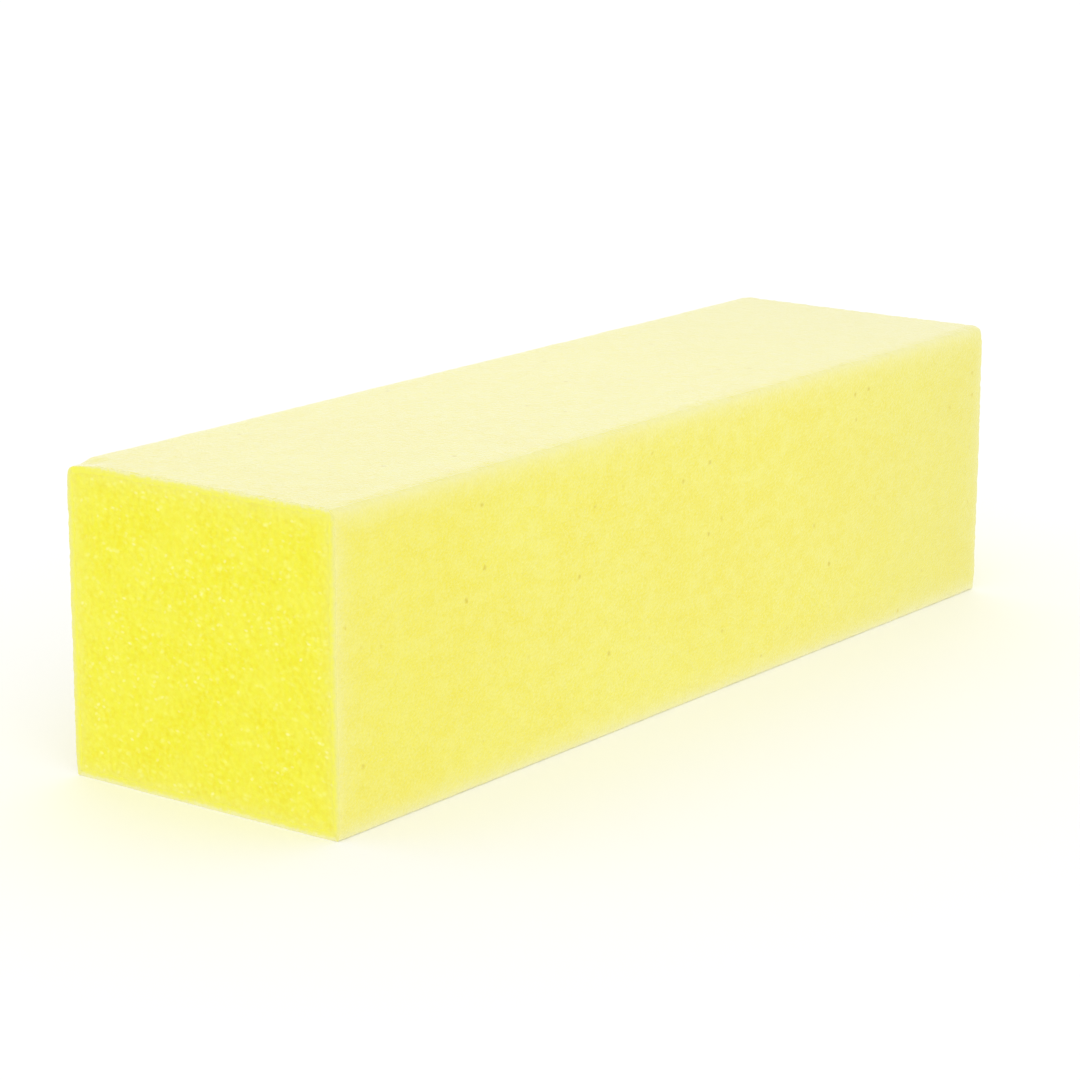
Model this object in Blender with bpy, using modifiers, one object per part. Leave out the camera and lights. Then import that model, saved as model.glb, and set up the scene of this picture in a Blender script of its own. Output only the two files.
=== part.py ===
"""Nail buffer block: a bar of open-cell foam with an abrasive coat on its four long faces.

The block is coated the way it is made. A foam sheet gets a bond coat and an abrasive coat
above and below. It is slit into bars, and the two slit faces get the same two coats, so
these run the full height and cover the cut edges of the first ones. The bars are then cut
to length, which leaves both ends as bare foam.

Frame: +Z up, +Y along the block, +X to the right when looking along +Y. The origin is at
the centre of the underside. Lengths are in metres.
"""

import bmesh
import bpy
from mathutils import Matrix, Vector

# The whole block
LENGTH = 0.095
WIDTH = 0.028
HEIGHT = 0.026
LONG_EDGE_RADIUS = 0.0008
LONG_EDGE_SEGMENTS = 6

# The two coats on each long face, and the clearance kept between neighbouring solids
ABRASIVE_THICKNESS = 0.00035
BOND_THICKNESS = 0.0002
LAYER_GAP = 0.0003

# The foam bar's own edges, which the saw leaves a little soft
CORE_EDGE_RADIUS = 0.0003
CORE_EDGE_SEGMENTS = 2

# How far the raw side coats and the trimming envelope reach past the finished block
TRIM_MARGIN = 0.002

# From the outer face inwards: abrasive, gap, bond, gap, foam
BOND_OUTER = ABRASIVE_THICKNESS + LAYER_GAP
CORE_INSET = BOND_OUTER + BOND_THICKNESS + LAYER_GAP
CORE_WIDTH = WIDTH - 2 * CORE_INSET
CORE_HEIGHT = HEIGHT - 2 * CORE_INSET

COLLECTION_NAME = "nail_buffer_block"
CUTTERS_NAME = "nail_buffer_block_cutters"


def clear_scene():
    for obj in list(bpy.data.objects):
        bpy.data.objects.remove(obj, do_unlink=True)


def new_collection(name):
    collection = bpy.data.collections.new(name)
    bpy.context.scene.collection.children.link(collection)
    return collection


def linear(channel):
    """One sRGB channel, 0 to 255, as the linear value that a shader takes."""
    value = channel / 255
    return value / 12.92 if value <= 0.04045 else ((value + 0.055) / 1.055) ** 2.4


def make_material(name, srgb, roughness):
    material = bpy.data.materials.new(name)
    material.use_nodes = True
    shader = material.node_tree.nodes["Principled BSDF"]
    shader.inputs["Base Color"].default_value = [linear(c) for c in srgb] + [1.0]
    shader.inputs["Roughness"].default_value = roughness
    shader.inputs["Metallic"].default_value = 0.0
    return material


def make_box(name, low, high, collection):
    """A box object between two corners, with its origin at its own centre."""
    low, high = Vector(low), Vector(high)
    shape = bmesh.new()
    bmesh.ops.create_cube(shape, size=1.0, matrix=Matrix.Diagonal((*(high - low), 1.0)))
    mesh = bpy.data.meshes.new(name)
    shape.to_mesh(mesh)
    shape.free()
    obj = bpy.data.objects.new(name, mesh)
    obj.location = (low + high) / 2
    collection.objects.link(obj)
    return obj


def make_envelope(collection):
    """The block's outer form with its four long edges rounded. It trims the side coats."""
    half_length = LENGTH / 2 + TRIM_MARGIN
    envelope = make_box(
        "envelope",
        (-WIDTH / 2, -half_length, 0.0),
        (WIDTH / 2, half_length, HEIGHT),
        collection,
    )
    shape = bmesh.new()
    shape.from_mesh(envelope.data)
    long_edges = [
        edge for edge in shape.edges
        if abs(edge.verts[0].co.y - edge.verts[1].co.y) > LENGTH
    ]
    bmesh.ops.bevel(
        shape,
        geom=long_edges,
        offset=LONG_EDGE_RADIUS,
        segments=LONG_EDGE_SEGMENTS,
        profile=0.5,
        affect="EDGES",
    )
    shape.to_mesh(envelope.data)
    shape.free()
    envelope.hide_render = True
    envelope.display_type = "WIRE"
    return envelope


def make_core(collection):
    """The foam bar, bare at both ends."""
    core = make_box(
        "foam_core",
        (-CORE_WIDTH / 2, -LENGTH / 2, CORE_INSET),
        (CORE_WIDTH / 2, LENGTH / 2, HEIGHT - CORE_INSET),
        collection,
    )
    bevel = core.modifiers.new("soft_edges", "BEVEL")
    bevel.width = CORE_EDGE_RADIUS
    bevel.segments = CORE_EDGE_SEGMENTS
    return core


def make_flat_coats(layer, outer, thickness, collection):
    """A coat on the top and one on the underside, as wide as the foam bar."""
    coats = []
    for side, low in (("top", HEIGHT - outer - thickness), ("bottom", outer)):
        coats.append(make_box(
            f"{layer}_{side}",
            (-CORE_WIDTH / 2, -LENGTH / 2, low),
            (CORE_WIDTH / 2, LENGTH / 2, low + thickness),
            collection,
        ))
    return coats


def make_side_coats(layer, outer, thickness, envelope, collection):
    """A coat on each slit face: full height, its outer edges rounded by the envelope.

    The outermost coat starts out past the envelope, which then gives it its outer face.
    """
    inner_x = WIDTH / 2 - outer - thickness
    outer_x = WIDTH / 2 - outer if outer else WIDTH / 2 + TRIM_MARGIN
    coats = []
    for side, near, far in (("right", inner_x, outer_x), ("left", -outer_x, -inner_x)):
        coat = make_box(
            f"{layer}_{side}",
            (near, -LENGTH / 2, -TRIM_MARGIN),
            (far, LENGTH / 2, HEIGHT + TRIM_MARGIN),
            collection,
        )
        trim = coat.modifiers.new("rounded_long_edges", "BOOLEAN")
        trim.operation = "INTERSECT"
        trim.solver = "EXACT"
        trim.object = envelope
        coats.append(coat)
    return coats


def smooth(obj, sharp_angle=0.6):
    obj.data.shade_smooth()
    obj.data.set_sharp_from_angle(angle=sharp_angle)


def build():
    clear_scene()
    parts = new_collection(COLLECTION_NAME)
    cutters = new_collection(CUTTERS_NAME)
    frame = bpy.data.objects.new("block_frame", None)
    parts.objects.link(frame)

    foam = make_material("foam", (247, 242, 78), 0.85)
    bond = make_material("bond_resin", (244, 238, 190), 0.55)
    abrasive = make_material("abrasive_grit", (248, 243, 160), 0.9)

    envelope = make_envelope(cutters)
    core = make_core(parts)
    layers = (
        ("bond_coat", BOND_OUTER, BOND_THICKNESS, bond),
        ("abrasive_coat", 0.0, ABRASIVE_THICKNESS, abrasive),
    )
    core.data.materials.append(foam)
    pieces = [core]
    for layer, outer, thickness, material in layers:
        coats = make_flat_coats(layer, outer, thickness, parts)
        coats += make_side_coats(layer, outer, thickness, envelope, parts)
        for coat in coats:
            coat.data.materials.append(material)
        pieces += coats
    for piece in pieces:
        smooth(piece)
        piece.parent = frame


build()
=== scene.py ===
import math

import bpy
import numpy as np
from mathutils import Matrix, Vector


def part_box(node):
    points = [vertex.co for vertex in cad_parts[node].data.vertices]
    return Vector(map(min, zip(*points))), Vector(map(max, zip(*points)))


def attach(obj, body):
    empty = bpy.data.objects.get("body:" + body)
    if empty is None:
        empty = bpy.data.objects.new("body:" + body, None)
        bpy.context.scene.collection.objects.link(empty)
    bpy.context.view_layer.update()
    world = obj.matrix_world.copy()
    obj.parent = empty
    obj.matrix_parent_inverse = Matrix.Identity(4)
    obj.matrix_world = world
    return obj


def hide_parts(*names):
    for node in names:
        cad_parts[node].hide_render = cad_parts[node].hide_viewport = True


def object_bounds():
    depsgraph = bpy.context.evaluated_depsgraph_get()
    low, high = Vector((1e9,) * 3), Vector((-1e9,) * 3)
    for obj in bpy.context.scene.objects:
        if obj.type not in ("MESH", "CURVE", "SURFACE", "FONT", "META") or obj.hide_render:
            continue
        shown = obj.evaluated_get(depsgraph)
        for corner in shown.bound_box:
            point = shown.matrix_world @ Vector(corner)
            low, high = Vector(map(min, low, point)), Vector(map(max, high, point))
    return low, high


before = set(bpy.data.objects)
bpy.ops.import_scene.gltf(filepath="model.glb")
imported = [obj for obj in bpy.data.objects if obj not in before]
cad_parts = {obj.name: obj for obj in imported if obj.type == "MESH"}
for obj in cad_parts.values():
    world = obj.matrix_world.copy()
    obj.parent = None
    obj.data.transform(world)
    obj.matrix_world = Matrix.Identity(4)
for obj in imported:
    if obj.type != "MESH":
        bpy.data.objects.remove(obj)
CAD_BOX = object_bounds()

# A nail buffer block: a bar of open-cell foam with a resin film and a coat of grit on each of
# its four long faces, and bare foam at its two sawn ends. Every piece is a mesh worked out from
# the frame's boxes, in metres. The materials measure positions and sizes in millimetres.

MM = 0.001

# ---------------------------------------------------------------- the block, from the frame
LOW, HIGH = np.array(CAD_BOX[0]), np.array(CAD_BOX[1])
CENTRE = (LOW + HIGH) / 2
HALF = (HIGH - LOW) / 2


def thickness(node):
    low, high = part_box(node)
    return high.z - low.z


GRIT_THICK = thickness("abrasive_coat_top")
BOND_THICK = thickness("bond_coat_top")

# ---------------------------------------------------------------- measures of the meshes
GRIT_STEP = 0.2 * MM             # mesh step over the coated faces
FILM_STEP = 2.5 * MM             # mesh step along the hidden resin films
CELL_STEP = 0.125 * MM           # mesh step over the cut ends
COAT_LAYERS = 3                  # rows of faces through a coat's cut edge
SHARP_ANGLE = 0.9                # radians; edges bent more than this are shaded sharp
TOUCHING = 0.001 * MM            # anything closer than this counts as touching

EDGE_RADIUS = 0.45 * MM          # outer radius of the four long edges
INNER_RADIUS = 0.03 * MM         # least radius of the layers beneath
PRESSED = 0.75                   # how nearly the bar's weight squares its two lower long edges
PRESSED_REACH = 1.6              # how far in from the side that goes, in edge radii
UNDERSIDE = 0.4 * MM             # height of what the bar's weight presses flat
SHOULDER_DEPTH = 0.12 * MM       # how far a soft face falls away towards a long edge
SHOULDER_REACH = 1.5 * MM        # and over what width
SWELL_DEPTH = 0.08 * MM          # slow waviness of the whole soft bar
SWELL_SIZE = 17 * MM
NICK_DEPTH = 0.32 * MM           # the dip at the front end's upper left corner
NICK_ALONG = (0.8 * MM, 2.6 * MM)    # it fades out between these distances from the end
NICK_ACROSS = (0.5 * MM, 4 * MM)     # and between these from the left face, and it reaches
NICK_BELOW = 0.4                     # down to this share of the way from the middle to the top

# Relief, measured inwards from the frame's faces, so that nothing stands outside them
GRAIN_DEPTH = 0.022 * MM         # the grit's relief; its three sorts below have shares of it
GRAIN_SIZE, GRAIN_SHARE = 0.32 * MM, 0.9     # single grains
CLUMP_SIZE, CLUMP_SHARE = 0.9 * MM, 0.6      # grains that lie in clumps
DRIFT_SIZE, DRIFT_SHARE = 3.1 * MM, 0.8      # slower changes in how thick the grit lies
RIM_FLAT = (0.5 * MM, 1.5 * MM)  # the underside's flat rim gives way to relief between these
LEAST_RELIEF = 0.1               # share of the relief that even the flat rim keeps
CHIP_DEPTH = 0.05 * MM           # chips where the saw left a coat's outer face
CHIP_REACH = 0.3 * MM            # how far they reach along the bar
CHIP_SIZE = 0.35 * MM
CHIP_NOISE = (0.4, 0.8)          # the noise has no chip below the first, a full one past the second
END_ROWS = (0, 0.3, 0.65)        # mesh rows near each end, as shares of the chips' reach
FRAY_DEPTH = 0.06 * MM           # roughness of a sawn end
FRAY_SIZE = 0.3 * MM
PORE_DEPTH = 0.1 * MM            # the foam's relief; its cells and its fuzz have shares of it
PORE_SIZE, PORE_SHARE = 0.4 * MM, 0.75
PORE_WALL = 0.5                  # width of the slope between two cells, in pore sizes
PORE_LEAST = 0.35                # share of its depth that the shallowest cell has
TUFT_SIZE = 1.3 * MM             # areas with deeper and shallower cells
FUZZ_SIZE, FUZZ_SHARE = 0.5 * PORE_SIZE, 0.3
RIM_RECESS = 0.012 * MM          # how far the foam sits back behind the film's sawn edge
RIM_EASE = 0.3 * MM              # pores get shallower over this width at the foam's rim
SOAK_DEPTH = 0.22 * MM           # how far the resin wanders into the foam
SOAK_EASE = 0.8 * MM             # and how far from a long edge it does so in full
SAW_DEPTH = 0.22 * MM            # how far the two end cuts wander from square
SAW_REACH = 5 * MM
EDGE_WEAR = 0.07 * MM            # how much the long edges are rubbed back, here and there
WORN_FROM = 0.92                 # share of the way out to a face at which that begins

# Noises to be added up, each as (share, size, seed). The saw's are for the front end, -1, and
# for the back end, 1.
SAW_WAVES = {
    -1: ((0.65, 16 * MM, 21), (0.35, 5 * MM, 26)),
    1: ((0.65, 16 * MM, 22), (0.35, 5 * MM, 27)),
}
WEAR_WAVES = ((0.55, 2.6 * MM, 15), (0.45, 0.9 * MM, 16))

# Multiplied with points, this leaves out how far along the bar they are
IN_SECTION = np.array([1, 0, 1])


# ---------------------------------------------------------------- noise on numpy arrays
def hashed(cell, seed):
    """A repeatable number from 0 to 1 for each row of whole-number coordinates."""
    cell = cell.astype(np.int64)
    mixed = cell[..., 0] * 73856093 ^ cell[..., 1] * 19349663 ^ cell[..., 2] * 83492791
    mixed = (mixed ^ (seed * 2654435761)) & 0xFFFFFFFF
    mixed = ((mixed ^ (mixed >> 15)) * 0x2C1B3C6D) & 0xFFFFFFFF
    mixed = ((mixed ^ (mixed >> 12)) * 0x297A2D39) & 0xFFFFFFFF
    return (mixed ^ (mixed >> 15)) / 0xFFFFFFFF


def smooth_noise(points, size, seed):
    """Value noise from 0 to 1 with features about size across."""
    scaled = points / size
    cell = np.floor(scaled)
    part = scaled - cell
    part = part * part * part * (part * (part * 6 - 15) + 10)
    total = np.zeros(len(points))
    for corner in np.ndindex(2, 2, 2):
        corner = np.array(corner)
        weight = np.prod(np.where(corner, part, 1 - part), axis=1)
        total += weight * hashed(cell + corner, seed)
    return total


def layered_noise(points, layers):
    """Smooth noises added up, each given as (share, size, seed)."""
    return sum(share * smooth_noise(points, size, seed) for share, size, seed in layers)


def cell_noise(points, size, seed):
    """Distance to the nearest and second nearest of scattered seeds, in units of size."""
    scaled = points / size
    cell = np.floor(scaled)
    first = np.full(len(points), 9.0)
    second = np.full(len(points), 9.0)
    for step in np.ndindex(3, 3, 3):
        near = cell + np.array(step) - 1
        spot = near + np.stack([hashed(near, seed + k) for k in (1, 2, 3)], axis=1)
        away = np.linalg.norm(scaled - spot, axis=1)
        second = np.minimum(second, np.maximum(first, away))
        first = np.minimum(first, away)
    return first, second


def ramp(value, start, end):
    """0 before start, 1 after end, smooth between."""
    part = np.clip((value - start) / (end - start), 0, 1)
    return part * part * (3 - 2 * part)


# ---------------------------------------------------------------- shape shared by all pieces
def settle(points):
    """Gives points of the plain bar its real, uneven form, which is the same for every layer.

    That is a slow waviness, soft shoulders, two hand-fed saw cuts, worn edges and a nick. The
    underside stays flat, because the soft bar settles on what it stands on.
    """
    moved = points.copy()
    across = (points - CENTRE) / HALF
    raised = np.maximum(across[:, 2], 0)
    deep = HALF * (1 - np.abs(across))
    narrow = SWELL_DEPTH * smooth_noise(points, SWELL_SIZE, seed=11) + shoulder(deep[:, 2])
    lower = SWELL_DEPTH * smooth_noise(points, SWELL_SIZE, seed=12) + shoulder(deep[:, 0])
    moved[:, 0] -= across[:, 0] * narrow
    moved[:, 2] -= raised * lower
    for end, waves in SAW_WAVES.items():
        wander = layered_noise(points * IN_SECTION, waves)
        inward = ramp(across[:, 1] * end, 1 - SAW_REACH / HALF[1], 1)
        moved[:, 1] -= end * inward * SAW_DEPTH * wander
    worn = edge_wear(points, across)
    moved[:, 0] -= np.sign(across[:, 0]) * worn
    moved[:, 2] -= np.sign(across[:, 2]) * worn
    moved[:, 0] += np.sign(across[:, 0]) * pressed(points)
    return moved + nick(points)


def shoulder(from_edge):
    """How far a face has fallen away, by the distance in from a long edge."""
    return SHOULDER_DEPTH * np.clip(1 - from_edge / SHOULDER_REACH, 0, 1) ** 2


def edge_wear(points, across):
    """How far the long edges are rubbed back, by the share of the way out to the faces."""
    near_side = ramp(np.abs(across[:, 0]), WORN_FROM, 1)
    near_top = ramp(np.abs(across[:, 2]), WORN_FROM, 1)
    return near_side * near_top * EDGE_WEAR * layered_noise(points, WEAR_WAVES)


def pressed(points):
    """How far the two lower long edges' rounding is pushed back out by the bar's weight."""
    below = np.clip(EDGE_RADIUS - (points[:, 2] - LOW[2]), 0, EDGE_RADIUS)
    rounding = EDGE_RADIUS - np.sqrt(EDGE_RADIUS**2 - below**2)
    from_side = HALF[0] - np.abs(points[:, 0] - CENTRE[0])
    return PRESSED * rounding * (1 - ramp(from_side, EDGE_RADIUS, PRESSED_REACH * EDGE_RADIUS))


def nick(points):
    """A small dip where the saw caught the front end's upper left corner."""
    near_end = 1 - ramp(points[:, 1] - LOW[1], *NICK_ALONG)
    near_left = 1 - ramp(points[:, 0] - LOW[0], *NICK_ACROSS)
    depth = NICK_DEPTH * near_end * near_left
    depth *= ramp(points[:, 2] - CENTRE[2], NICK_BELOW * HALF[2], HALF[2])
    return np.stack([0 * depth, 0 * depth, -depth], axis=1)


def corner_radius(inset):
    """Radius of the long edges of the layer that lies inset below the outer faces."""
    return max(EDGE_RADIUS - inset, INNER_RADIUS)


def section(inset, side, count):
    """Points across one face's share of the rounded section, and their outward normals.

    The flat coats on top and bottom run between the corner arcs. The side coats take the
    flat side and both arcs, because they are put on last and lap over the long edges.
    """
    radius = corner_radius(inset)
    wide, tall = HALF[0] - inset - radius, HALF[2] - inset - radius
    run = np.linspace(-1, 1, count)
    if side in ("top", "bottom"):
        x, z = run * wide, np.full(count, tall)
        nx, nz = np.zeros(count), np.ones(count)
    else:
        arc = EDGE_RADIUS * math.pi / 2
        straight = HALF[2] - EDGE_RADIUS
        travel = run * (straight + arc)
        bend = np.clip(np.abs(travel) - straight, 0, arc) / EDGE_RADIUS
        x, z = np.full(count, wide), np.clip(travel / straight, -1, 1) * tall
        nx, nz = np.cos(bend), np.sign(travel) * np.sin(bend)
    x, z = x + nx * radius, z + nz * radius
    if side == "bottom":
        z, nz = -z, -nz
    if side == "left":
        x, nx = -x, -nx
    return x, z, nx, nz


def section_count(side):
    """How many points section takes across that side's coats."""
    length = 2 * (HALF[0] - EDGE_RADIUS)
    if side in ("left", "right"):
        length = 2 * (HALF[2] - EDGE_RADIUS) + EDGE_RADIUS * math.pi
    return int(round(length / GRIT_STEP)) + 1


def at_end(x, z, end):
    """Points of a section, at the front end of the bar if end is -1 and at the back if 1."""
    return np.stack([x, np.full(len(x), end * HALF[1]), z], axis=1) + CENTRE


# ---------------------------------------------------------------- relief
def lifted(points):
    """0 on the underside and 1 above it, where the bar's weight doesn't press things flat."""
    return ramp(points[:, 2] - LOW[2], 0, UNDERSIDE)


def grit_relief(points):
    """How far each point of a coated face lies below the frame's face.

    The rim of the underside has hardly any, because the bar's weight presses it flat there.
    """
    first, _ = cell_noise(points, GRAIN_SIZE, seed=31)
    clumps = smooth_noise(points, CLUMP_SIZE, seed=32)
    drift = smooth_noise(points, DRIFT_SIZE, seed=33)
    from_rim = np.min(HALF[:2] - np.abs(points - CENTRE)[:, :2], axis=1)
    free = np.maximum(lifted(points), ramp(from_rim, *RIM_FLAT))
    free = np.maximum(free, LEAST_RELIEF)
    grains = np.clip(first, 0, 1)
    total = GRAIN_SHARE * grains + CLUMP_SHARE * clumps + DRIFT_SHARE * drift
    return free * GRAIN_DEPTH * total


def end_chips(points):
    """How far a coat's outer face is chipped away close to its two sawn edges."""
    from_end = HALF[1] - np.abs(points[:, 1] - CENTRE[1])
    near = np.clip(1 - from_end / CHIP_REACH, 0, 1) ** 1.5
    chipped = ramp(smooth_noise(points, CHIP_SIZE, seed=53), *CHIP_NOISE)
    return CHIP_DEPTH * near * lifted(points) * chipped


def cut_relief(points):
    """How far each point of a sawn end lies below the saw's plane, the same for every layer."""
    return FRAY_DEPTH * smooth_noise(points * IN_SECTION, FRAY_SIZE, seed=51)


def foam_relief(points):
    """How far the foam lies below that again at a cut end: open cells and fine fuzz."""
    first, second = cell_noise(points, PORE_SIZE, seed=41)
    inside = np.clip((second - first) / PORE_WALL, 0, 1)
    fuzz, _ = cell_noise(points, FUZZ_SIZE, seed=45)
    depth = PORE_LEAST + (1 - PORE_LEAST) * smooth_noise(points, TUFT_SIZE, seed=46)
    total = PORE_SHARE * inside * depth + FUZZ_SHARE * (1 - np.clip(fuzz, 0, 1))
    return PORE_DEPTH * total


# ---------------------------------------------------------------- meshes
def add_piece(name, points, faces, materials, face_slots=None):
    mesh = bpy.data.meshes.new(name)
    mesh.from_pydata([tuple(p) for p in points], [], faces)
    for material in materials:
        mesh.materials.append(material)
    if face_slots is not None:
        mesh.polygons.foreach_set("material_index", np.array(face_slots, np.int32))
    mesh.validate()
    mesh.shade_smooth()
    mesh.set_sharp_from_angle(angle=SHARP_ANGLE)
    mesh.update()
    obj = bpy.data.objects.new(name, mesh)
    bpy.context.scene.collection.objects.link(obj)
    return obj


def quads(index, flip):
    """Faces over a 2-D array of vertex numbers."""
    a, b, c, d = index[:-1, :-1], index[1:, :-1], index[1:, 1:], index[:-1, 1:]
    order = (a, d, c, b) if flip else (a, b, c, d)
    return [tuple(int(v) for v in face) for face in np.stack([q.ravel() for q in order], axis=1)]


def stations(step):
    """Positions along the bar: even steps, with closer ones over the last bit at each end."""
    close = np.array(END_ROWS) * CHIP_REACH
    count = int(round(2 * HALF[1] / step))
    even = np.linspace(CHIP_REACH - HALF[1], HALF[1] - CHIP_REACH, count)
    return np.concatenate([close - HALF[1], even, (HALF[1] - close)[::-1]])


def outer_face(side, outer, along, relief):
    """A coat's outer face: one point for each place across it and, within that, along it."""
    x, z, nx, nz = section(outer, side, section_count(side))
    y = along[None, :]
    face = np.stack(np.broadcast_arrays(x[:, None], y, z[:, None]), axis=-1) + CENTRE
    normals = np.stack(np.broadcast_arrays(nx[:, None], 0 * y, nz[:, None]), axis=-1)
    points = face.reshape(-1, 3)
    if relief is None:
        return points
    depth = relief(points) + end_chips(points)
    return points - normals.reshape(-1, 3) * depth[:, None]


def cut_row(side, inset, end, soak):
    """Points across a coat at one end, wandering up to soak further in, but not at its corners."""
    x, z, nx, nz = section(inset, side, section_count(side))
    row = at_end(x, z, end)
    deep = HALF - inset - np.abs(row - CENTRE)
    from_corner = np.hypot(deep[:, 0], deep[:, 2])
    depth = soak * smooth_noise(row, FRAY_SIZE, seed=52) * ramp(from_corner, 0, SOAK_EASE)
    row[:, 0] -= nx * depth
    row[:, 2] -= nz * depth
    return row


def coat_mesh(side, outer, thick, step, relief=None, soak=0.0):
    """One coat as a closed shell: outer face, two cut edges, two seams and a plain inner face.

    Returns the points, the faces and, for each face, 1 if it belongs to a cut edge.
    """
    across = section_count(side)
    along = stations(step)
    points = outer_face(side, outer, along, relief)
    chipped = 0.0 if relief is None else CHIP_DEPTH
    index = np.arange(len(points)).reshape(across, len(along))
    flip = side in ("right", "bottom")
    faces = quads(index, flip)
    slots = [0] * len(faces)
    cuts = []
    for end, column in ((-1, 0), (1, -1)):
        rows = [index[:, column]]
        for layer in range(1, COAT_LAYERS + 1):
            inset = outer + chipped + (thick - chipped) * layer / COAT_LAYERS
            row = cut_row(side, inset, end, soak if layer == COAT_LAYERS else 0.0)
            rows.append(np.arange(len(points), len(points) + across))
            points = np.concatenate([points, row])
        cuts.append(np.array(rows))
        made = quads(cuts[-1], flip if end < 0 else not flip)
        faces += made
        slots += [1] * len(made)
    front, back = cuts
    faces += quads(np.array([front[-1], back[-1]]), flip)
    for edge in (0, across - 1):
        ring = [int(v) for v in (*index[edge], *back[1:, edge], *front[:0:-1, edge])]
        faces.append(tuple(ring if (edge == 0) != flip else ring[::-1]))
    slots += [0] * (len(faces) - len(slots))
    from_middle = points[:, 1] - CENTRE[1]
    on_cut = np.abs(from_middle) > HALF[1] - TOUCHING
    points[:, 1] -= on_cut * np.sign(from_middle) * cut_relief(points)
    return settle(points), faces, slots


def foam_mesh():
    """The foam bar as one closed shell: two cut ends with open cells, joined by plain sides."""
    inset = GRIT_THICK + BOND_THICK
    wide, tall = HALF[0] - inset, HALF[2] - inset
    columns = int(round(2 * wide / CELL_STEP)) + 1
    rows = int(round(2 * tall / CELL_STEP)) + 1
    places = np.linspace(-wide, wide, columns), np.linspace(-tall, tall, rows)
    x, z = np.meshgrid(*places, indexing="ij")
    x, z = round_corners(x, z, wide, tall, corner_radius(inset))
    index = np.arange(columns * rows).reshape(columns, rows)
    rim = np.minimum(wide - np.abs(x), tall - np.abs(z)).ravel()
    points, faces = [], []
    for end in (-1, 1):
        cut = at_end(x.ravel(), z.ravel(), end)
        depth = RIM_RECESS + cut_relief(cut) + foam_relief(cut) * ramp(rim, 0, RIM_EASE)
        cut[:, 1] -= end * depth
        faces += quads(index + len(points) * columns * rows, end > 0)
        points.append(cut)
    loop = np.concatenate([index[:-1, 0], index[-1, :-1], index[:0:-1, -1], index[0, :0:-1]])
    loop = np.append(loop, loop[0])
    faces += quads(np.array([loop, loop + columns * rows]), False)
    return settle(np.concatenate(points)), faces


def round_corners(x, z, wide, tall, radius):
    """Bends a rectangular grid's four corners onto arcs of that radius."""
    px = np.clip(np.abs(x) - (wide - radius), 0, None) / radius
    pz = np.clip(np.abs(z) - (tall - radius), 0, None) / radius
    longest = np.maximum(px, pz)
    reach = np.hypot(px, pz)
    share = np.divide(longest, reach, out=np.ones_like(reach), where=reach > 0)
    near = (px > 0) & (pz > 0)
    new_x = np.sign(x) * (wide - radius + px * share * radius)
    new_z = np.sign(z) * (tall - radius + pz * share * radius)
    return np.where(near, new_x, x), np.where(near, new_z, z)


# ---------------------------------------------------------------- node helpers
def linear(srgb):
    """An sRGB colour, 0 to 255, as the linear RGBA that a shader takes."""
    out = []
    for channel in srgb:
        value = channel / 255
        out.append(value / 12.92 if value <= 0.04045 else ((value + 0.055) / 1.055) ** 2.4)
    return (*out, 1.0)


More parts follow.
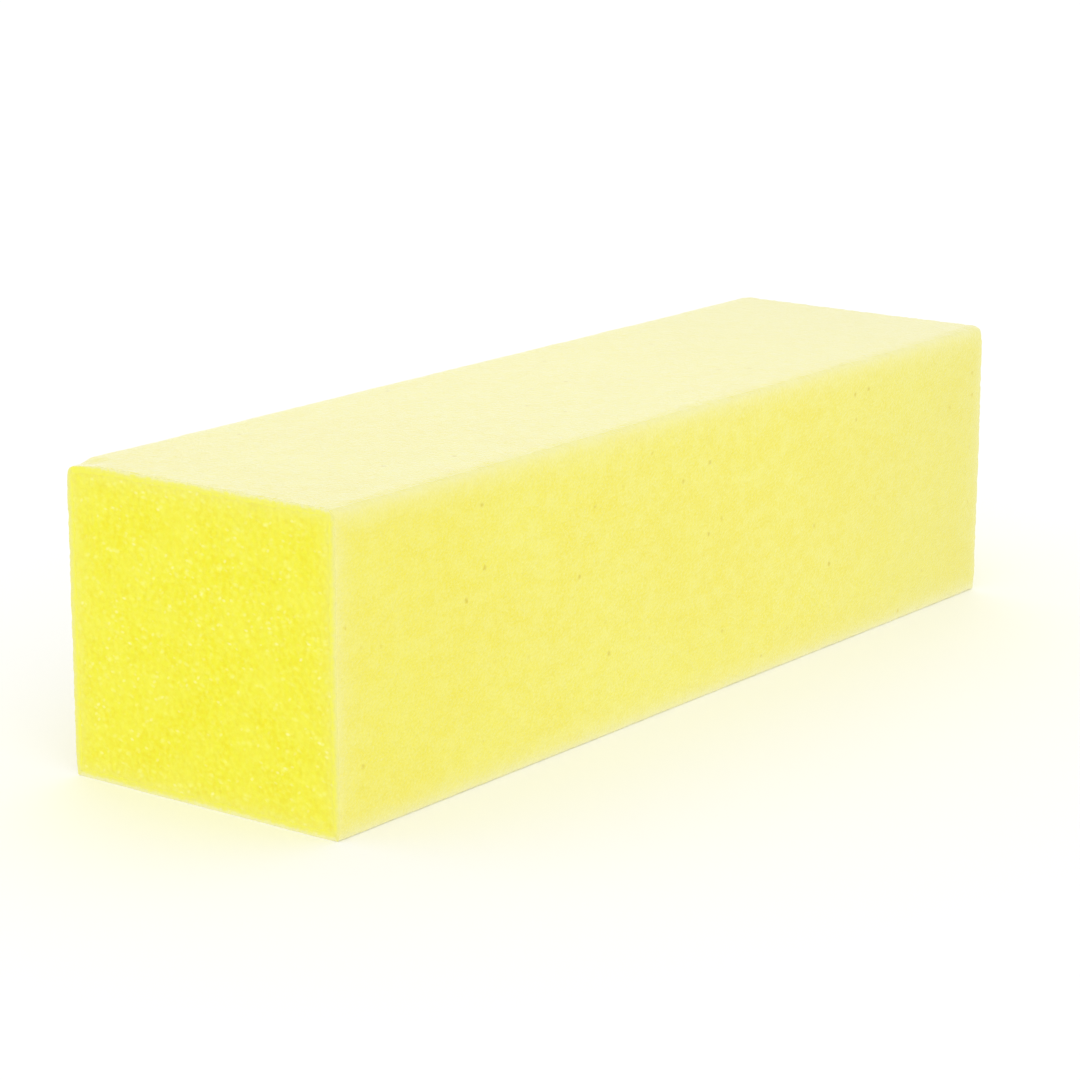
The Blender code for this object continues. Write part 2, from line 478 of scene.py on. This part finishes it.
class Nodes:
    """Short names for making and wiring a material's nodes.

    Positions and sizes are in millimetres. Only the height of a bump is in metres.
    """

    def __init__(self, name, roughness):
        self.material = bpy.data.materials.new(name)
        self.material.use_nodes = True
        self.tree = self.material.node_tree
        self.shader = self.tree.nodes["Principled BSDF"]
        self.shader.inputs["Roughness"].default_value = roughness
        self.shader.inputs["Metallic"].default_value = 0.0
        coordinates = self.tree.nodes.new("ShaderNodeTexCoord")
        scale = self.tree.nodes.new("ShaderNodeVectorMath")
        scale.operation = "SCALE"
        scale.inputs["Scale"].default_value = 1 / MM
        self.tree.links.new(coordinates.outputs["Object"], scale.inputs[0])
        self.position = scale.outputs[0]

    def put(self, socket, value):
        if isinstance(value, bpy.types.NodeSocket):
            self.tree.links.new(value, socket)
        else:
            socket.default_value = value

    def noise(self, scale, detail=2.0, roughness=0.5, vector=None):
        node = self.tree.nodes.new("ShaderNodeTexNoise")
        self.put(node.inputs["Vector"], vector or self.position)
        node.inputs["Scale"].default_value = scale
        node.inputs["Detail"].default_value = detail
        node.inputs["Roughness"].default_value = roughness
        return node.outputs["Fac"]

    def cells(self, scale, output="Distance", vector=None):
        node = self.tree.nodes.new("ShaderNodeTexVoronoi")
        self.put(node.inputs["Vector"], vector or self.position)
        node.inputs["Scale"].default_value = scale
        return node.outputs[output]

    def math(self, operation, a, b=0.0):
        node = self.tree.nodes.new("ShaderNodeMath")
        node.operation = operation
        self.put(node.inputs[0], a)
        self.put(node.inputs[1], b)
        return node.outputs[0]

    def times(self, a, b):
        return self.math("MULTIPLY", a, b)

    def decay(self, distance, kept, share=1.0):
        """Share at distance 0, and after each millimetre the fraction kept of what it was."""
        return self.times(self.math("POWER", kept, distance), share)

    def fade(self, value, start, end, low=0.0, high=1.0):
        """Low before start, high after end, smooth between. End may be the smaller one."""
        node = self.tree.nodes.new("ShaderNodeMapRange")
        node.interpolation_type = "SMOOTHSTEP"
        self.put(node.inputs["Value"], value)
        node.inputs["From Min"].default_value = start
        node.inputs["From Max"].default_value = end
        node.inputs["To Min"].default_value = low
        node.inputs["To Max"].default_value = high
        return node.outputs["Result"]

    def mix(self, factor, a, b):
        node = self.tree.nodes.new("ShaderNodeMix")
        node.data_type = "RGBA"
        self.put(node.inputs["Factor"], factor)
        self.put(node.inputs[6], a)
        self.put(node.inputs[7], b)
        return node.outputs[2]

    def axes(self, vector):
        node = self.tree.nodes.new("ShaderNodeSeparateXYZ")
        self.put(node.inputs[0], vector)
        return node.outputs

    def stretched(self, size, angle=0.0):
        """Coordinates turned about the bar's length, in which a feature comes out size large."""
        node = self.tree.nodes.new("ShaderNodeMapping")
        node.vector_type = "TEXTURE"
        self.put(node.inputs["Vector"], self.position)
        node.inputs["Rotation"].default_value = (0.0, angle, 0.0)
        node.inputs["Scale"].default_value = size
        return node.outputs["Vector"]

    def bump(self, height, distance, strength):
        node = self.tree.nodes.new("ShaderNodeBump")
        self.put(node.inputs["Height"], height)
        node.inputs["Distance"].default_value = distance
        node.inputs["Strength"].default_value = strength
        return node.outputs["Normal"]

    def finish(self, color, roughness=None, normal=None):
        self.put(self.shader.inputs["Base Color"], color)
        if roughness is not None:
            self.put(self.shader.inputs["Roughness"], roughness)
        if normal is not None:
            self.put(self.shader.inputs["Normal"], normal)
        return self.material


# ---------------------------------------------------------------- materials
# The deepest foam colour is painted shade, for light dimming inside the cells' hollows.
FOAM_HOLLOW_SHADE = linear((229, 219, 42))
FOAM_MAIN = linear((230, 226, 50))
FOAM_WALL = linear((233, 230, 80))
FOAM_FLECK_HIGHLIGHT = linear((238, 238, 126))
FOAM_GLINT = linear((245, 245, 172))
COAT_MAIN = linear((229, 222, 70))
COAT_WARM = linear((228, 217, 48))
COAT_PALE = linear((232, 228, 120))
# The palest coat colour serves both pale dust and the painted highlight along the edges.
COAT_DUST_AND_HIGHLIGHT = linear((231, 228, 176))
COAT_FAR_SHADE = linear((212, 205, 96))
COAT_LESS_SHEEN = linear((226, 218, 44))
COAT_SPECK = linear((211, 195, 44))
CUT_MAIN = linear((229, 225, 136))
CUT_GREY = linear((221, 216, 126))
# The two paler sawn-edge colours are painted highlight, for edges lit from above.
CUT_FLAT_LIT = linear((231, 228, 168))
CUT_FLAT_LIT_GRAIN = linear((225, 221, 148))
BOND_MAIN = linear((229, 224, 132))
BOND_DARK = linear((225, 218, 118))
FLOOR_WHITE = (0.95, 0.95, 0.95, 1)

# In millimetres
FOAM_CELL = 0.45                 # size of the foam's cells
RESIN_CORNER = 1.1               # radius that gathered resin gives the corners of a sawn end
SPECK_SPACING = 2.1              # room for each missing grain
# The coats' darkening towards the far end is painted shade, for less light there.
FAR_SHADE_REACH = (8, 56)             # places along the bar between which the coats get duller

# Sets of painted highlights on the foam, pale spots where cell walls catch light, each as (angle,
# size, rarity, reach)
FLECK_HIGHLIGHTS = ((0.3, (0.95, 0.8, 0.5), 0.35, 0.5), (2.8, (0.85, 0.6, 0.55), 0.35, 0.5))
GLINTS = ((0.1, (0.8, 0.7, 0.45), 0.5, 0.38), (2.5, (0.75, 0.6, 0.5), 0.6, 0.38))


def foam_material():
    n = Nodes("open_cell_foam", 0.88)
    cell = n.cells(1 / FOAM_CELL)
    fine = n.noise(2.4, 4.0, 0.6)
    cloud = n.noise(0.3, 3.0, 0.6)
    # Painted shade: each cell is darker and deeper yellow towards its middle, as light dims inside
    # the hollows.
    color = n.mix(n.fade(cell, 0.1, 0.9), FOAM_HOLLOW_SHADE, FOAM_MAIN)
    color = n.mix(n.fade(fine, 0.4, 0.75, 0, 0.9), color, FOAM_WALL)
    color = n.mix(n.fade(cloud, 0.35, 0.7, 0, 0.45), color, FOAM_WALL)
    fleck_highlight = highlight_spots(n, FLECK_HIGHLIGHTS)
    glint = highlight_spots(n, GLINTS)
    crowd = n.fade(n.noise(0.45, 3.0, 0.6), 0.35, 0.65, 0.45, 1.0)
    # Painted highlights: pale flecks and glints where cell walls catch light.
    color = n.mix(n.times(fleck_highlight, n.times(crowd, 0.75)), color, FOAM_FLECK_HIGHLIGHT)
    color = n.mix(n.times(glint, n.times(crowd, 0.7)), color, FOAM_GLINT)
    color = n.mix(rim_share(n), color, CUT_MAIN)
    rough = n.fade(glint, 0, 1, 0.9, 0.7)
    normal = n.bump(n.noise(5.0, 4.0, 0.65), 0.04 * MM, 0.3)
    n.shader.inputs["Specular IOR Level"].default_value = 0.35
    return n.finish(color, rough, normal)


def highlight_spots(n, sets):
    """Soft painted highlights, some brighter than others, where a cell wall lies flat and catches
    light.
    """
    spots = 0.0
    for angle, size, rarity, reach in sets:
        place = n.stretched(size, angle)
        tint = n.axes(n.cells(1.0, output="Color", vector=place))[0]
        strength = n.fade(tint, rarity, 1.0)
        body = n.fade(n.cells(1.0, vector=place), reach, 0.02)
        spots = n.math("MAXIMUM", spots, n.times(n.times(strength, strength), body))
    return spots


def from_outside(n, waver):
    """Distance in from the outline of a sawn end, in millimetres, made uneven by waver.

    The outline's corners count as rounded, because resin gathers in them.
    """
    x, _, z = n.axes(n.position)
    middle = n.math("SUBTRACT", z, CENTRE[2] / MM)
    deep_x = n.math("SUBTRACT", HALF[0] / MM, n.math("ABSOLUTE", x))
    deep_z = n.math("SUBTRACT", HALF[2] / MM, n.math("ABSOLUTE", middle))
    short_x = n.math("MAXIMUM", n.math("SUBTRACT", RESIN_CORNER, deep_x), 0.0)
    short_z = n.math("MAXIMUM", n.math("SUBTRACT", RESIN_CORNER, deep_z), 0.0)
    squares = n.math("ADD", n.math("POWER", short_x, 2.0), n.math("POWER", short_z, 2.0))
    inside = n.math("MAXIMUM", n.math("MINIMUM", deep_x, deep_z), RESIN_CORNER)
    deep = n.math("SUBTRACT", inside, n.math("SQRT", squares))
    uneven = n.fade(n.noise(2.2, 3.0, 0.6), 0.25, 0.75, -waver, waver)
    return n.math("ADD", deep, uneven)


def rim_share(n):
    """How pale a sawn end is, where resin and grit dust reach into the foam from its coats."""
    deep = from_outside(n, 0.2)
    resin = n.decay(deep, kept=0.2, share=0.93)
    dust = n.decay(deep, kept=0.6, share=0.12)
    return n.math("ADD", resin, dust)


def coat_material(name, dusty, sheen_shade):
    """The coarse coat, with patches of pale dust that cover as much as dusty says.

    The last argument is (start, end, share): between those places along the bar, the coat
    turns yellower, up to that share: painted shade, where less light and sheen fall.
    """
    n = Nodes(name, 0.85)
    along = n.axes(n.position)[1]
    laid = n.stretched((1.0, 1.43, 1.0))
    grain = n.noise(4.6, 4.0, 0.8, laid)
    grit = n.cells(5.0, vector=laid)
    mottle = n.noise(0.9, 3.0, 0.6, laid)
    cloud = n.noise(0.09, 3.0, 0.6)
    color = n.mix(n.fade(cloud, 0.3, 0.7), COAT_WARM, COAT_MAIN)
    color = n.mix(n.fade(mottle, 0.35, 0.7, 0, 0.5), color, COAT_PALE)
    color = n.mix(n.fade(grain, 0.42, 0.68, 0, 0.8), color, COAT_PALE)
    color = n.mix(n.fade(grit, 0.5, 0.9, 0, 0.4), color, COAT_WARM)
    # Painted shade: yellower where the coat shows less light and sheen.
    start, end, share = sheen_shade
    color = n.mix(n.fade(along, start, end, 0, share), color, COAT_LESS_SHEEN)
    dust = n.fade(n.noise(1.2, 5.0, 0.75), 0.4, 0.7, 0, dusty)
    color = n.mix(dust, color, COAT_DUST_AND_HIGHLIGHT)
    # Painted shade: the coats darken towards the far end, as if less light reached it.
    color = n.mix(n.fade(along, *FAR_SHADE_REACH, 0, 0.42), color, COAT_FAR_SHADE)
    # Pale along the edges: partly dust and handling, partly painted highlight.
    color = n.mix(edge_dust_and_highlight(n), color, COAT_DUST_AND_HIGHLIGHT)
    color = n.mix(speck_mask(n), color, COAT_SPECK)
    rough = n.fade(grain, 0.3, 0.7, 0.78, 0.92)
    height = n.math("ADD", n.times(grain, 0.6), n.times(grit, -0.5))
    normal = n.bump(height, 0.08 * MM, 0.8)
    n.shader.inputs["Specular IOR Level"].default_value = 0.5
    n.shader.inputs["Sheen Weight"].default_value = 1.0
    n.shader.inputs["Sheen Roughness"].default_value = 0.42
    return n.finish(color, rough, normal)


def edge_dust_and_highlight(n):
    """How far a coat is paled along its edges: partly dust and handling, partly painted highlight
    where the edges catch light.
    """
    deep = []
    for axis, value in enumerate(n.axes(n.position)):
        from_middle = n.math("ABSOLUTE", n.math("SUBTRACT", value, CENTRE[axis] / MM))
        deep.append(n.math("SUBTRACT", HALF[axis] / MM, from_middle))
    on_side = n.fade(deep[0], 0.95, 0.1)
    long_edges = n.decay(deep[2], kept=0.34)
    ends = n.decay(deep[1], kept=0.36, share=0.52)
    uneven = n.fade(n.noise(0.8, 4.0, 0.65), 0.25, 0.75, 0.75, 1.0)
    return n.times(n.math("MAXIMUM", long_edges, ends), n.times(on_side, uneven))


def speck_mask(n):
    """Scattered soft spots where a grain is missing and the darker resin shows."""
    drift = n.fade(n.noise(3.5, 3.0), 0.3, 0.7, -0.03, 0.03)
    spot = n.fade(n.math("ADD", n.cells(1 / SPECK_SPACING), drift), 0.15, 0.02)
    tint = n.axes(n.cells(1 / SPECK_SPACING, output="Color"))[1]
    return n.times(spot, n.fade(tint, 0.45, 0.9))


def cut_edge_material(name, main, dark, reach):
    """A coat's sawn edge: pale outside, as yellow as the foam from reach millimetres in."""
    n = Nodes(name, 0.8)
    grain = n.noise(7.0, 3.0, 0.65)
    color = n.mix(n.fade(grain, 0.4, 0.75, 0, 0.7), main, dark)
    color = n.mix(n.fade(from_outside(n, 0.12), reach, 0.05), FOAM_WALL, color)
    normal = n.bump(grain, 0.05 * MM, 0.8)
    return n.finish(color, n.fade(grain, 0.3, 0.7, 0.65, 0.9), normal)


def floor_material():
    return Nodes("studio_floor", 0.9).finish(FLOOR_WHITE)


# ---------------------------------------------------------------- pieces
def place(obj, node, slot):
    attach(obj, "root")
    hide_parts(node)


def build_foam():
    points, faces = foam_mesh()
    bar = add_piece("foam_bar", points, faces, [foam_material()])
    place(bar, "foam_core", "foam")


def build_coats():
    """The four sides' coats. Top and bottom share their materials, and so do left and right."""
    grit = {
        "top": coat_material("abrasive_coat_flat", dusty=0.34, sheen_shade=(-30, 40, 0.6)),
        "right": coat_material("abrasive_coat_side", dusty=0.0, sheen_shade=(-15, -42, 0.2)),
    }
    grit_cut = {
        # The flat coats' sawn edges are a paler copy of the sides': painted highlight, as if lit
        # from above.
        "top": cut_edge_material("abrasive_cut_flat_lit", CUT_FLAT_LIT, CUT_FLAT_LIT_GRAIN, reach=0.5),
        "right": cut_edge_material("abrasive_cut_side", CUT_MAIN, CUT_GREY, reach=0.75),
    }
    for made in (grit, grit_cut):
        made["bottom"], made["left"] = made["top"], made["right"]
    bond = cut_edge_material("bond_resin", BOND_MAIN, BOND_DARK, reach=0.75)
    for side in ("top", "bottom", "left", "right"):
        points, faces, slots = coat_mesh(side, 0.0, GRIT_THICK, GRIT_STEP, relief=grit_relief)
        coat = add_piece(f"grit_coat_{side}", points, faces, [grit[side], grit_cut[side]], slots)
        place(coat, f"abrasive_coat_{side}", "abrasive_grit")
        points, faces, _ = coat_mesh(side, GRIT_THICK, BOND_THICK, FILM_STEP, soak=SOAK_DEPTH)
        film = add_piece(f"bond_film_{side}", points, faces, [bond])
        place(film, f"bond_coat_{side}", "bond_resin")


# ---------------------------------------------------------------- stage, light and camera
FLOOR_HALF = 6.0                 # metres from the middle of the floor to its sides
SUN_ANGLE = math.radians(60)     # how broad the soft lights are
SENSOR_WIDTH = 36.0              # millimetres, as is the lens
CAMERA_LENS = 114.0
CAMERA_AZIMUTH = math.radians(36.8)
CAMERA_ELEVATION = math.radians(13.8)
CAMERA_DISTANCE = 0.301          # metres from the block's centre
CAMERA_AIM = Vector((0.0, -0.004, 0.0))    # where it looks, from the block's centre
CAMERA_CLIP = 0.01
LIGHT_BOUNCES = 16               # pale foam on a pale floor passes light on many times


def direction(azimuth, elevation):
    """Unit vector from the block towards a viewer at that azimuth and elevation."""
    return Vector((
        math.sin(azimuth) * math.cos(elevation),
        -math.cos(azimuth) * math.cos(elevation),
        math.sin(elevation),
    ))


def add_floor():
    size = FLOOR_HALF
    mesh = bpy.data.meshes.new("floor")
    corners = [(-size, -size, 0), (size, -size, 0), (size, size, 0), (-size, size, 0)]
    mesh.from_pydata(corners, [], [(0, 1, 2, 3)])
    mesh.materials.append(floor_material())
    floor = bpy.data.objects.new("floor", mesh)
    bpy.context.scene.collection.objects.link(floor)


def add_sun(name, azimuth, elevation, strength):
    """A broad soft source far away, so that the floor is lit evenly out to the horizon."""
    light = bpy.data.lights.new(name, "SUN")
    light.energy = strength
    light.angle = SUN_ANGLE
    lamp = bpy.data.objects.new(name, light)
    away = direction(math.radians(azimuth), math.radians(elevation))
    lamp.location = Vector(CENTRE) + away
    lamp.rotation_euler = away.to_track_quat("Z", "Y").to_euler()
    bpy.context.scene.collection.objects.link(lamp)


def add_world():
    world = bpy.data.worlds.new("studio")
    world.use_nodes = True
    background = world.node_tree.nodes["Background"]
    background.inputs["Color"].default_value = (1, 1, 1, 1)
    background.inputs["Strength"].default_value = 1.0
    bpy.context.scene.world = world


def add_camera():
    data = bpy.data.cameras.new("camera")
    data.sensor_width = SENSOR_WIDTH
    data.lens = CAMERA_LENS
    data.clip_start = CAMERA_CLIP
    camera = bpy.data.objects.new("camera", data)
    away = direction(CAMERA_AZIMUTH, CAMERA_ELEVATION)
    camera.location = Vector(CENTRE) + away * CAMERA_DISTANCE
    looking = camera.location - (Vector(CENTRE) + CAMERA_AIM)
    camera.rotation_euler = looking.to_track_quat("Z", "Y").to_euler()
    bpy.context.scene.collection.objects.link(camera)
    bpy.context.scene.camera = camera


bpy.context.scene.view_settings.view_transform = "Standard"
bpy.context.scene.cycles.max_bounces = LIGHT_BOUNCES
bpy.context.scene.cycles.diffuse_bounces = LIGHT_BOUNCES
build_foam()
build_coats()
add_floor()
add_world()
add_sun("key", azimuth=46, elevation=9, strength=1.1)
add_sun("back_fill", azimuth=215, elevation=9, strength=0.35)
add_camera()
